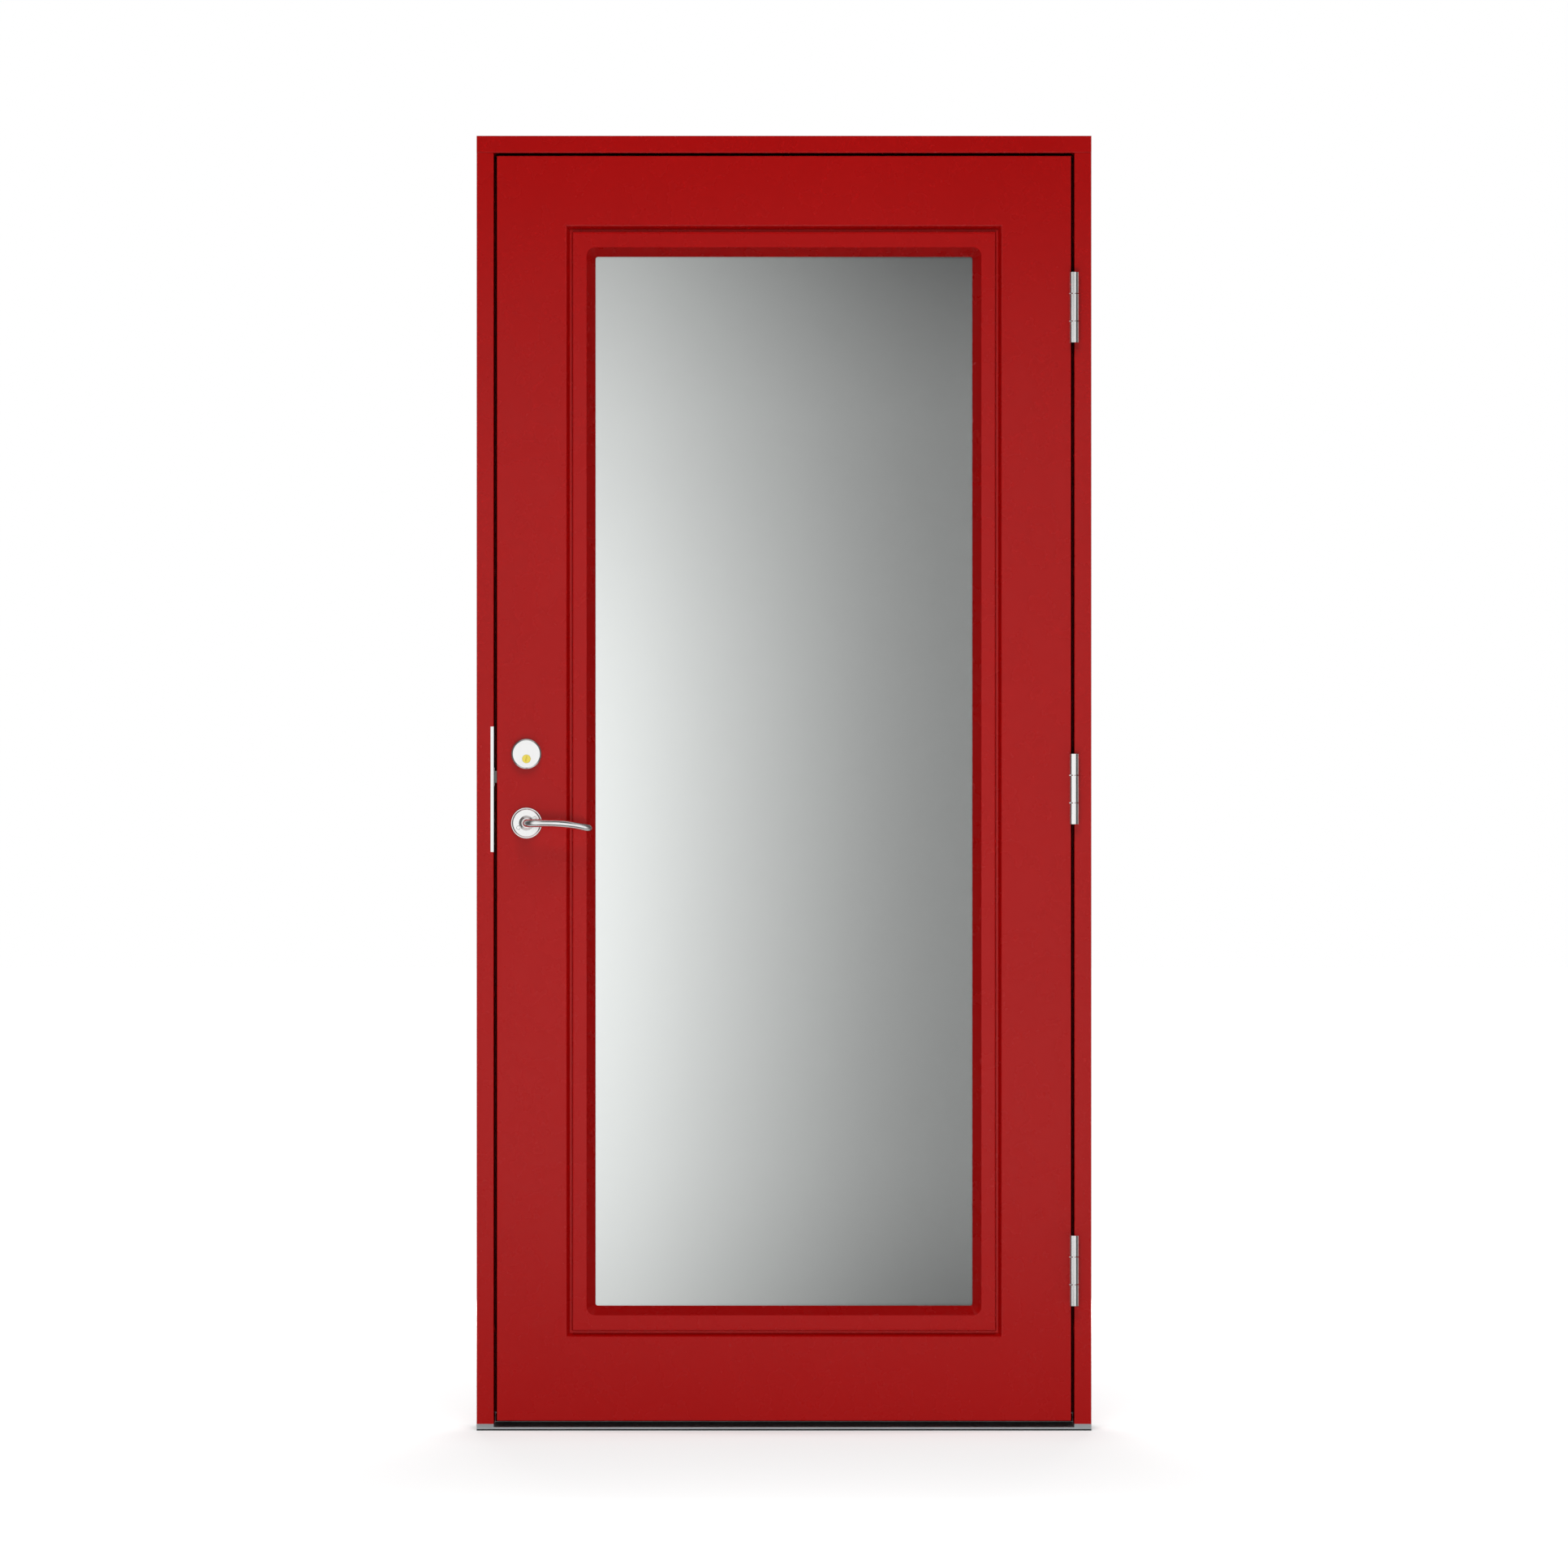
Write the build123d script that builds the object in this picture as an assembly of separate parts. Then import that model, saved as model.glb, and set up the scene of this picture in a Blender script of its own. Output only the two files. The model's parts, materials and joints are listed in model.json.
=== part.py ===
# Glazed entrance door, opening outwards, in its own rebated frame.
# Millimetres, +Z up. The origin is the middle of the underside of the sill,
# the outside of the door faces -Y, the hinges are on the +X side.
import os

from build123d import *

os.makedirs("parts", exist_ok=True)

# Frame
frame_width = 990.0
frame_height = 2085.0
frame_depth = 115.0
member_width = 52.0      # whole width of a jamb or of the head
face_width = 27.5        # the part of it that shows beside the leaf
edge_round = 1.5
leaf_gap = 5.0           # between the leaf and the rebate, sides and top
rebate_gap = 5.0         # between the back of the leaf and the stop

# Sill
base_height = 2.1        # black packer under the metal sill
nose_height = 5.4        # top of the sill nose between the jambs
pad_height = 10.5        # top of the raised pads under the jambs
tread_height = 8.5       # top of the tread where it meets the upstand
upstand_height = 25.0
sill_wall = 3.0
drip_gap = 10.1          # between the sill nose and the leaf

# Seals
seal_width = 10.0
seal_height = 4.5
seal_inset = 0.5
sill_seal_width = 13.0

# Leaf
leaf_thickness = 62.0
skin_thickness = 10.0
side_margin = 158.5      # from the edge of the leaf to the visible glass
top_margin = 161.0
bottom_margin = 184.0
slope_width = 14.0       # sloped edge round the glass, seen from the front
slope_radius = 14.0      # its outer corners
sight_radius = 4.0       # corners of the visible glass
band_side = 23.0         # flat band of the glazing frame
band_end = 25.0
groove_width = 9.2
groove_wall = 5.0        # sloped outer wall of the groove, seen from the front
groove_depth = 9.0
edge_soft = 1.5          # rounded edges of the leaf
lip_width = 1.6          # slanting lip where the skin turns into the groove
lip_drop = 0.8
band_round = 3.0         # outer edge of the flat band
glass_recess = 24.0      # from the outside face down to the glass
throat_land = 1.0
inner_sight_grow = 3.5   # the opening inside is a little larger than the one outside
pane_thickness = 4.0
pane_space = 8.0
pane_cover = 11.0        # glass hidden behind the glazing frame
pane_clearance = 2.0
spacer_width = 9.0

# Hinges
hinge_from_bottom = 242.5   # from the bottom of the leaf to the middle of the lowest hinge
hinge_from_top = 244.5
hinge_radius = 8.0
hinge_height = 113.0
hinge_middle = 43.0      # length of the middle knuckle
hinge_joint = 1.5
hinge_standoff = 1.0     # between the knuckle and the face of the door
hinge_offset = 1.5       # from the middle of the gap towards the jamb
wing_thickness = 3.0
wing_depth = 45.0
pin_radius = 3.0
pin_clearance = 0.05

# Lock
backset = 48.0
spindle_z = 978.2
cylinder_above = 111.3   # from the spindle up to the middle of the cylinder ring
bolt_above = 74.5
lock_above = 54.4        # from the spindle up to the middle of the lock case
forend_height = 235.0
forend_width = 22.0
forend_thickness = 3.0
case_height = 170.0
case_depth = 82.0
case_thickness = 16.0
bolt_height = 19.2
bolt_thickness = 12.0
bolt_throw = 14.0
bolt_tail = 28.0
bolt_clearance = 0.3
strike_height = 202.0
strike_lip = 5.0
strike_depth = 46.0
strike_thickness = 2.0
strike_clearance = 5.0
pocket_depth = 17.0

# Cylinder
ring_radius = 24.0
ring_height = 11.0
ring_chamfer = 2.2       # its width seen from the front
ring_chamfer_depth = 1.9
oval_radius = 10.8
oval_span = 16.0
oval_clearance = 0.05
plug_drop = 8.0          # plug centre below the middle of the ring
plug_radius = 6.8
plug_proud = 0.8
plug_clearance = 0.2
key_width = 2.0
key_height = 8.5

# Lever handle
rosette_radius = 25.0
rosette_height = 7.0
rim_width = 1.6          # low rim round the raised face of the rosette
rim_height = 5.0
rim_round = 0.8
rim_slope = 2.0          # slope from the rim up to the face
collar_radius = 12.0     # the collar is a short cone
collar_top_radius = 7.7
collar_height = 4.2
neck_radius = 6.5
neck_clearance = 0.3
neck_start = 4.0         # from the face of the leaf to the end of the neck
neck_length = 34.0
grip_reach = 52.0        # from the face of the leaf to the middle of the grip
grip_length = 106.0
grip_drop = 8.6
spindle_size = 8.0
spindle_bore = 11.0
socket_depth = 20.0
turn_length = 36.0
turn_width = 13.0
turn_height = 20.0
turn_neck = 9.0

# Fixing holes through the jambs
fixing_radius = 7.0
fixing_from_end = 162.5  # from the ends of the frame to the outer holes
fixing_inner = 680.0     # between the two inner holes
fixing_from_face = 33.0

# Planes and edges that follow from the sizes above
half = frame_width / 2
y_out = -frame_depth / 2
y_in = frame_depth / 2
rebate_x = half - face_width
stop_x = half - member_width
rebate_z = frame_height - face_width
stop_z = frame_height - member_width
leaf_x = rebate_x - leaf_gap
leaf_top = rebate_z - leaf_gap
leaf_bottom = nose_height + drip_gap
leaf_back = y_out + leaf_thickness
leaf_mid = y_out + leaf_thickness / 2
stop_y = leaf_back + rebate_gap
core_front = y_out + skin_thickness
core_back = leaf_back - skin_thickness
glass_stack = 3 * pane_thickness + 2 * pane_space
glass_front = y_out + glass_recess
inner_recess = leaf_thickness - glass_recess - glass_stack
sight_x = leaf_x - side_margin
sight_low = leaf_bottom + bottom_margin
sight_high = leaf_top - top_margin
spindle_x = -leaf_x + backset
cylinder_z = spindle_z + cylinder_above
bolt_z = spindle_z + bolt_above
lock_z = spindle_z + lock_above
hinge_x = (leaf_x + rebate_x) / 2 + hinge_offset
hinge_y = y_out - hinge_standoff - hinge_radius
hinge_low = leaf_bottom + hinge_from_bottom
hinge_high = leaf_top - hinge_from_top
hinge_heights = {"bottom": hinge_low, "middle": (hinge_low + hinge_high) / 2, "top": hinge_high}


def block(x0, x1, y0, y1, z0, z1):
    # A plain box between two corners.
    middle = Pos((x0 + x1) / 2, (y0 + y1) / 2, (z0 + z1) / 2)
    return middle * Box(abs(x1 - x0), abs(y1 - y0), abs(z1 - z0))


def front_plane(y):
    # Plane parallel to the face of the door, seen from outside.
    return Plane(origin=(0, y, 0), x_dir=(1, 0, 0), z_dir=(0, -1, 0))


def sheet(grow, y0, y1, radius=0.0):
    # A slab the size of the visible glass grown on its sides, top and bottom.
    side, end = grow
    wide = 2 * (sight_x + side)
    tall = sight_high - sight_low + 2 * end
    outline = RectangleRounded(wide, tall, radius) if radius else Rectangle(wide, tall)
    place = front_plane(y1) * Pos(0, (sight_high + sight_low) / 2)
    return extrude(place * outline, amount=y1 - y0)


def rod(x, z, radius, y0, y1):
    # A round bar along Y.
    return extrude(front_plane(y1) * Pos(x, z) * Circle(radius), amount=y1 - y0)


def post(x, y, radius, z0, z1):
    # A round bar along Z.
    return extrude(Plane((x, y, z0)) * Circle(radius), amount=z1 - z0)


def strip(points, rounded, plane, length):
    # A moulding: a section with some of its corners rounded, drawn out along its length.
    section = make_face(Polyline(*points, close=True))
    corners = [v for v in section.vertices() if any(abs(v.X - a) + abs(v.Y - b) < 1e-6 for a, b in rounded)]
    section = fillet(corners, edge_round)
    return extrude(plane * section, amount=length)


def seal(plane, width, length):
    # Hollow-looking bulb: a flat back and a round front.
    back = Line((-width / 2, 0), (width / 2, 0))
    bulb = ThreePointArc((width / 2, 0), (0, seal_height), (-width / 2, 0))
    return extrude(plane * make_face([back, bulb]), amount=length)


parts = {}

# Hinges. The outer knuckles and their wing belong to the frame, the middle knuckle to the leaf.
end_knuckle = (hinge_height - hinge_middle) / 2 - hinge_joint
frame_wings = []
leaf_wings = []
for name, z in hinge_heights.items():
    low, high = z - hinge_height / 2, z + hinge_height / 2
    bore = post(hinge_x, hinge_y, pin_radius + pin_clearance, low - 1, high + 1)
    jamb_wing = block(rebate_x, rebate_x + wing_thickness, y_out, y_out + wing_depth, low, high)
    leaf_wing = block(leaf_x - wing_thickness, leaf_x, y_out, y_out + wing_depth, low, high)
    frame_half = jamb_wing
    for z0, z1 in ((low, low + end_knuckle), (high - end_knuckle, high)):
        frame_half += post(hinge_x, hinge_y, hinge_radius, z0, z1)
        frame_half += block(rebate_x, rebate_x + wing_thickness, hinge_y, y_out, z0, z1)
    z0, z1 = z - hinge_middle / 2, z + hinge_middle / 2
    leaf_half = leaf_wing + post(hinge_x, hinge_y, hinge_radius, z0, z1)
    leaf_half += block(leaf_x - wing_thickness, leaf_x, hinge_y, y_out, z0, z1)
    parts[f"{name}_hinge_frame_half"] = frame_half - bore
    parts[f"{name}_hinge_leaf_half"] = leaf_half - bore
    parts[f"{name}_hinge_pin"] = post(hinge_x, hinge_y, pin_radius, low, high)
    frame_wings.append(jamb_wing)
    leaf_wings.append(leaf_wing)

# Frame: two jambs standing on the sill, and the head laid over them.
jamb_points = [(-half, y_out), (-rebate_x, y_out), (-rebate_x, stop_y),
               (-stop_x, stop_y), (-stop_x, y_in), (-half, y_in)]
jamb_rounds = [jamb_points[i] for i in (0, 1, 3, 4)]
jamb = strip(jamb_points, jamb_rounds, Plane((0, 0, pad_height)), rebate_z - pad_height)
jamb -= block(-half - 1, -stop_x + 1, stop_y, y_in + 1, pad_height - 1, upstand_height)
jamb -= block(-half - 1, -stop_x + 1, stop_y, y_in + 1, stop_z, rebate_z + 1)
for gap in (frame_height - 2 * fixing_from_end, fixing_inner):
    for z in (frame_height / 2 - gap / 2, frame_height / 2 + gap / 2):
        hole = Plane((-half - 1, y_out + fixing_from_face, z), x_dir=(0, 1, 0), z_dir=(1, 0, 0))
        jamb -= extrude(hole * Circle(fixing_radius), amount=member_width + 2)

strike_z0, strike_z1 = lock_z - strike_height / 2, lock_z + strike_height / 2
strike = block(-rebate_x - strike_lip, -rebate_x, y_out, y_out + strike_thickness, strike_z0, strike_z1)
strike += block(-rebate_x - strike_thickness, -rebate_x, y_out, y_out + strike_depth, strike_z0, strike_z1)
room_y = bolt_thickness / 2 + strike_clearance
room_z = bolt_height / 2 + strike_clearance
pocket = block(-rebate_x - pocket_depth, -rebate_x + 1, leaf_mid - room_y, leaf_mid + room_y,
               bolt_z - room_z, bolt_z + room_z)
parts["strike_plate"] = strike - pocket
parts["lock_jamb"] = jamb - strike - pocket
hinge_jamb = mirror(jamb, about=Plane.YZ)
for wing in frame_wings:
    hinge_jamb -= wing
parts["hinge_jamb"] = hinge_jamb

head_points = [(y_out, rebate_z), (stop_y, rebate_z), (stop_y, stop_z),
               (y_in, stop_z), (y_in, frame_height), (y_out, frame_height)]
head_rounds = [head_points[i] for i in (0, 2, 3, 5)]
along_x = Plane((-half, 0, 0), x_dir=(0, 1, 0), z_dir=(1, 0, 0))
parts["head"] = strip(head_points, head_rounds, along_x, frame_width)

# Sill: a black packer under a bent metal sill with an upstand behind the leaf.
under_front = base_height
under_back = tread_height - sill_wall
cover_points = [(y_out, under_front), (y_out, nose_height), (stop_y, tread_height),
                (stop_y, upstand_height), (y_in, upstand_height), (y_in, base_height),
                (y_in - sill_wall, base_height), (y_in - sill_wall, upstand_height - sill_wall),
                (stop_y + sill_wall, upstand_height - sill_wall), (stop_y + sill_wall, under_back)]
cover_rounds = [cover_points[i] for i in (1, 3, 4)]
cover = strip(cover_points, cover_rounds, along_x, frame_width)
for side in (-1, 1):
    pad_x = min(side * rebate_x, side * half)
    pad = make_face(Polyline((y_out, nose_height - 1), (stop_y, tread_height - 1),
                             (stop_y, pad_height), (y_out, pad_height), close=True))
    cover += extrude(Plane((pad_x, 0, 0), x_dir=(0, 1, 0), z_dir=(1, 0, 0)) * pad, amount=face_width)
parts["sill_cover"] = cover
base_points = [(y_out, 0), (y_in, 0), (y_in, base_height), (y_in - sill_wall, base_height),
               (y_in - sill_wall, upstand_height - sill_wall),
               (stop_y + sill_wall, upstand_height - sill_wall),
               (stop_y + sill_wall, under_back), (y_out, under_front)]
base = make_face(Polyline(*base_points, close=True))
parts["sill_base"] = extrude(along_x * base, amount=frame_width)

# Seals on the stop, in the corner of the rebate where they show through the gap.
seal_x = rebate_x - seal_inset - seal_width / 2
seal_z = rebate_z - seal_inset - seal_width / 2
seal_top = seal_z - seal_width / 2
for name, x in (("lock_jamb_seal", -seal_x), ("hinge_jamb_seal", seal_x)):
    foot = Plane((x, stop_y, upstand_height), x_dir=(-1, 0, 0), z_dir=(0, 0, 1))
    parts[name] = seal(foot, seal_width, seal_top - upstand_height)
across = 2 * (rebate_x - seal_inset)
start = Plane((-across / 2, stop_y, seal_z), x_dir=(0, 0, 1), z_dir=(1, 0, 0))
parts["head_seal"] = seal(start, seal_width, across)
sill_seal_z = tread_height + seal_inset + sill_seal_width / 2
start = Plane((-across / 2, stop_y, sill_seal_z), x_dir=(0, 0, 1), z_dir=(1, 0, 0))
parts["sill_seal"] = seal(start, sill_seal_width, across)

# Lock case with its forend, let into the edge of the leaf.
forend = block(-leaf_x, -leaf_x + forend_thickness, leaf_mid - forend_width / 2, leaf_mid + forend_width / 2,
               lock_z - forend_height / 2, lock_z + forend_height / 2)
case = block(-leaf_x + forend_thickness, -leaf_x + case_depth, leaf_mid - case_thickness / 2,
             leaf_mid + case_thickness / 2, lock_z - case_height / 2, lock_z + case_height / 2)
lock = forend + case
slot_y = bolt_thickness / 2 + bolt_clearance
slot_z = bolt_height / 2 + bolt_clearance
slot = block(-leaf_x - 1, -leaf_x + bolt_tail + bolt_throw + 2, leaf_mid - slot_y, leaf_mid + slot_y,
             bolt_z - slot_z, bolt_z + slot_z)
spindle_hole = rod(spindle_x, spindle_z, spindle_bore, y_out - 1, leaf_back + 1)
follower_hole = rod(spindle_x, spindle_z, neck_radius, y_out - 1, leaf_back + 1)
parts["lock_case"] = lock - slot - follower_hole
bolt = block(-leaf_x - bolt_throw, -leaf_x + bolt_tail, leaf_mid - bolt_thickness / 2,
             leaf_mid + bolt_thickness / 2, bolt_z - bolt_height / 2, bolt_z + bolt_height / 2)
bevel_back = bolt_throw * 0.75
bevel = make_face(Polyline((-leaf_x - bolt_throw - 1, leaf_mid - bolt_thickness / 4),
                           (-leaf_x - bolt_throw + bevel_back, leaf_mid + bolt_thickness / 2 + 1),
                           (-leaf_x - bolt_throw - 1, leaf_mid + bolt_thickness / 2 + 1), close=True))
bolt -= extrude(Plane((0, 0, bolt_z - bolt_height)) * bevel, amount=2 * bolt_height)
parts["latch_bolt"] = bolt

# Lock cylinder, its ring and the plug that takes the key.
ring_face = y_out - ring_height
plug_z = cylinder_z - plug_drop
oval_z = plug_z + oval_span / 2


def oval(grow, y0, y1):
    outline = SlotCenterToCenter(oval_span, 2 * (oval_radius + grow), rotation=90)
    return extrude(front_plane(y1) * Pos(spindle_x, oval_z) * outline, amount=y1 - y0)


ring = rod(spindle_x, cylinder_z, ring_radius, ring_face, y_out)
ring = chamfer(ring.edges().group_by(Axis.Y)[0], ring_chamfer_depth, ring_chamfer)
parts["cylinder_ring"] = ring - oval(oval_clearance, ring_face - 1, y_out + 1)
case_front = leaf_mid - case_thickness / 2
body = oval(0.0, ring_face, case_front)
body -= rod(spindle_x, plug_z, plug_radius + plug_clearance, ring_face - 1, ring_face + 14)
parts["lock_cylinder"] = body
plug = rod(spindle_x, plug_z, plug_radius, ring_face - plug_proud, ring_face + 14)
key = front_plane(ring_face + 8) * Pos(spindle_x, plug_z) * Rot(0, 0, -12) * Rectangle(key_width, key_height)
parts["cylinder_plug"] = plug - extrude(key, amount=12)

# Leaf: stiles and rails, a skin on each face.
core_grow = slope_width + pane_clearance
core_x = sight_x + core_grow
core_low, core_high = sight_low - core_grow, sight_high + core_grow
lock_stile = block(-leaf_x, -core_x, core_front, core_back, leaf_bottom, leaf_top)
lock_stile -= lock
lock_stile -= spindle_hole
lock_stile -= oval(oval_clearance, y_out - 1, case_front)
parts["lock_stile"] = lock_stile
hinge_stile = block(core_x, leaf_x, core_front, core_back, leaf_bottom, leaf_top)
for wing in leaf_wings:
    hinge_stile -= wing
parts["hinge_stile"] = hinge_stile
parts["top_rail"] = block(-core_x, core_x, core_front, core_back, core_high, leaf_top)
parts["bottom_rail"] = block(-core_x, core_x, core_front, core_back, leaf_bottom, core_low)

groove_side = slope_width + band_side + groove_width
groove_end = slope_width + band_end + groove_width
skin = block(-leaf_x, leaf_x, y_out, core_front, leaf_bottom, leaf_top)
skin = fillet(skin.faces().sort_by(Axis.Y)[0].edges(), edge_soft)
middle_z = (sight_high + sight_low) / 2
tall = sight_high - sight_low
foot_side = groove_side - groove_wall
foot_end = groove_end - groove_wall


def groove_outline(side, end, y):
    outline = Rectangle(2 * (sight_x + side), tall + 2 * end)
    return front_plane(y) * Pos(0, middle_z) * outline


groove_foot = groove_outline(foot_side, foot_end, core_front)
groove_mouth = groove_outline(groove_side, groove_end, y_out + lip_drop)
groove_lip = groove_outline(groove_side + lip_width, groove_end + lip_width, y_out)
skin -= loft([groove_foot, groove_mouth])
skin -= loft([groove_mouth, groove_lip])
outer_skin = skin - spindle_hole - oval(oval_clearance, y_out - 1, core_front + 1)
for wing in leaf_wings:
    outer_skin -= wing
parts["outer_skin"] = outer_skin
leaf_middle = Plane((0, leaf_mid, 0), x_dir=(1, 0, 0), z_dir=(0, -1, 0))
parts["inner_skin"] = mirror(skin, about=leaf_middle) - spindle_hole

# Glazing frames: one moulded piece on each face. A flange lies under the groove, a flat band
# is flush with the skin, and the throat slopes from the band down to the glass. The slope has
# wide corners at the band and nearly square ones at the glass.
def glazing_frame(recess, grow):
    band = sheet((slope_width + band_side, slope_width + band_end), y_out, core_front)
    band = fillet(band.faces().sort_by(Axis.Y)[0].edges(), band_round)
    moulding = band + sheet((foot_side, foot_end), y_out + groove_depth, core_front)
    glass_y = y_out + recess
    if recess > skin_thickness:
        moulding += sheet((slope_width, slope_width), core_front, glass_y, slope_radius)
    mouth = RectangleRounded(2 * (sight_x + slope_width), tall + 2 * slope_width, slope_radius)
    sight = RectangleRounded(2 * (sight_x + grow), tall + 2 * grow, sight_radius)
    throat = loft([front_plane(glass_y - throat_land) * Pos(0, middle_z) * sight,
                   front_plane(y_out) * Pos(0, middle_z) * mouth])
    return moulding - throat - sheet((grow, grow), glass_y - throat_land - 0.5, glass_y + 1, sight_radius)


parts["outer_glazing_frame"] = glazing_frame(glass_recess, 0)
parts["inner_glazing_frame"] = mirror(glazing_frame(inner_recess, inner_sight_grow), about=leaf_middle)

# Sealed glass unit: three panes and two spacers.
pane_names = ["outer_pane", "middle_pane", "inner_pane"]
spacer_names = ["outer_spacer", "inner_spacer"]
y = glass_front
for i in range(3):
    parts[pane_names[i]] = sheet((pane_cover, pane_cover), y, y + pane_thickness)
    y += pane_thickness
    if i < 2:
        ring_out = sheet((pane_cover, pane_cover), y, y + pane_space)
        hidden = pane_cover - spacer_width
        parts[spacer_names[i]] = ring_out - sheet((hidden, hidden), y - 1, y + pane_space + 1)
        y += pane_space

# Handle: a rosette on each face, and two levers on one square spindle.
hole = neck_radius + neck_clearance
collar_top = rosette_height + collar_height
rim_inside = rosette_radius - rim_width
profile = Polyline((hole, 0), (rosette_radius, 0), (rosette_radius, rim_height), (rim_inside, rim_height),
                   (rim_inside - rim_slope, rosette_height), (collar_radius, rosette_height),
                   (collar_top_radius, collar_top), (hole, collar_top), close=True)
section = make_face(profile)
rim_edge = [v for v in section.vertices() if v.X > rosette_radius - 0.1 and v.Y > 1]
section = fillet(rim_edge, rim_round)
turned = revolve(Plane((0, 0, 0), x_dir=(1, 0, 0), z_dir=(0, 0, 1)) * section, axis=Axis.Y)
rosette = Pos(spindle_x, y_out, spindle_z) * (Rot(0, 0, 180) * turned)
parts["outer_rosette"] = rosette
parts["inner_rosette"] = mirror(rosette, about=leaf_middle)


def lever_section(u, reach, drop, way, high, deep):
    # One section of the lever: u along it, reach out from the leaf, drop below the spindle.
    wx, wy, wz = way
    flat = (wx ** 2 + wy ** 2) ** 0.5
    spot = Plane(origin=(spindle_x + u, y_out - reach, spindle_z - drop),
                 x_dir=(wy / flat, wx / flat, 0), z_dir=(wx, -wy, -wz))
    return spot * Ellipse(deep, high)


bend = grip_reach - neck_length
neck_end = neck_length - 4
neck_circle = front_plane(y_out - neck_end) * Pos(spindle_x, spindle_z) * Circle(neck_radius)
grip = loft([
    neck_circle,
    lever_section(0.10 * bend, neck_length + 0.35 * bend, 0, (0.30, 1, 0), 6.5, 6.5),
    lever_section(0.45 * bend, neck_length + 0.78 * bend, 0, (1, 1, 0), 6.4, 6.8),
    lever_section(1.10 * bend, grip_reach, 0, (1, 0.12, 0), 6.2, 7.0),
    lever_section(0.42 * grip_length, grip_reach + 1, 0.02 * grip_drop, (1, 0, 0.02), 6.0, 7.0),
    lever_section(0.68 * grip_length, grip_reach - 1, 0.30 * grip_drop, (1, -0.16, 0.14), 6.0, 7.0),
    lever_section(0.88 * grip_length, grip_reach - 7, 0.76 * grip_drop, (1, -0.50, 0.22), 5.8, 6.6),
    lever_section(0.96 * grip_length, grip_reach - 12, 0.94 * grip_drop, (1, -0.80, 0.26), 5.0, 5.6),
    lever_section(0.98 * grip_length, grip_reach - 14, grip_drop, (1, -0.85, 0.26), 2.8, 3.0),
])
neck = rod(spindle_x, spindle_z, neck_radius, y_out - neck_end, y_out - neck_start)
socket = block(spindle_x - spindle_size / 2, spindle_x + spindle_size / 2, y_out - socket_depth, y_out,
               spindle_z - spindle_size / 2, spindle_z + spindle_size / 2)
lever = grip + neck - socket
parts["outer_lever"] = lever
parts["inner_lever"] = mirror(lever, about=leaf_middle)
parts["spindle"] = block(spindle_x - spindle_size / 2, spindle_x + spindle_size / 2,
                         y_out - socket_depth, leaf_back + socket_depth,
                         spindle_z - spindle_size / 2, spindle_z + spindle_size / 2)

# Thumb turn on the inside, over the cylinder.
turn_base = rod(spindle_x, cylinder_z, rosette_radius, leaf_back, leaf_back + rosette_height)
turn_base = fillet(turn_base.edges().group_by(Axis.Y)[-1], 3.0)
parts["turn_rosette"] = turn_base
turn_y = leaf_back + rosette_height
knob_y = turn_y + turn_height
knob = extrude(front_plane(knob_y) * Pos(spindle_x, cylinder_z)
               * SlotOverall(turn_length, turn_width, rotation=90), amount=turn_height * 0.7)
knob = fillet(knob.edges().group_by(Axis.Y)[-1], 2.0)
knob += rod(spindle_x, cylinder_z, turn_neck, turn_y, knob_y - turn_height * 0.5)
parts["thumb_turn"] = knob

for name, shape in parts.items():
    solids = shape.solids()
    print(name, len(solids), round(sum(s.volume for s in solids) / 1000, 1), "cm3")
    export_step(shape, f"parts/{name}.step")
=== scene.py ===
# %% [markdown]
# # A glazed entrance door, dressed for its picture
# The solids of the door are already modelled at their real size: frame, leaf, glass, hinges,
# lock and handle. This lesson gives every piece its finish, adds the small fasteners, and sets
# up a calm studio with the camera square to the door. All lengths are in metres.

# %% Load the door
import json
import math

import bmesh
import bpy
from mathutils import Matrix, Vector


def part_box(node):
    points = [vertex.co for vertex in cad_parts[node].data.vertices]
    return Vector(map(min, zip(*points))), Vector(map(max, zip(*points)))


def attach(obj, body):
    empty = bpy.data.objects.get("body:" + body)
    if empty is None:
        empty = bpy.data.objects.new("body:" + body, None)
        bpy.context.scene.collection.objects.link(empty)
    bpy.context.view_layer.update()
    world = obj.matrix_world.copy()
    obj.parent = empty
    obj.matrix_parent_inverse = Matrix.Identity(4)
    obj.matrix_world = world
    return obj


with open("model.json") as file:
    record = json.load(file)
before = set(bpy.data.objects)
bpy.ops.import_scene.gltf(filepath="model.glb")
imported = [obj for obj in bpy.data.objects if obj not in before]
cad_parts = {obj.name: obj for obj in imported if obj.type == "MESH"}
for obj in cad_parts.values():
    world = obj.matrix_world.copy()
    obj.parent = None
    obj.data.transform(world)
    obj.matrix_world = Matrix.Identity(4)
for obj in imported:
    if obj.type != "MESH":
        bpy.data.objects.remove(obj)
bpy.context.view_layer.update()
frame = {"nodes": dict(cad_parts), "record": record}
print("door loaded:", len(frame["nodes"]), "pieces")

# %% [markdown]
# ## Where things are
# A piece that is added later should sit on the piece that carries it. Reading the boxes of the
# loaded pieces is safer than typing numbers, because the fasteners then follow the door if a
# size changes. The outside of the door looks along -Y and the hinges are on the +X side.

# %% Measure the faces and the handle
face_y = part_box("outer_skin")[0].y
inner_face_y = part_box("inner_skin")[1].y
spindle_low, spindle_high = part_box("spindle")
handle_x = (spindle_low.x + spindle_high.x) / 2
handle_z = (spindle_low.z + spindle_high.z) / 2
print("faces at y =", round(face_y, 4), "and", round(inner_face_y, 4))
print("handle at x, z =", round(handle_x, 4), round(handle_z, 4))

# %% [markdown]
# ## The camera
# The picture is taken square to the door with a long lens, so that upright edges stay upright
# and the jambs show no depth. A long lens from far away does the same here. The width of the
# picture at the door gives the focal length, so the door fills as much of the frame as it should.

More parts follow.
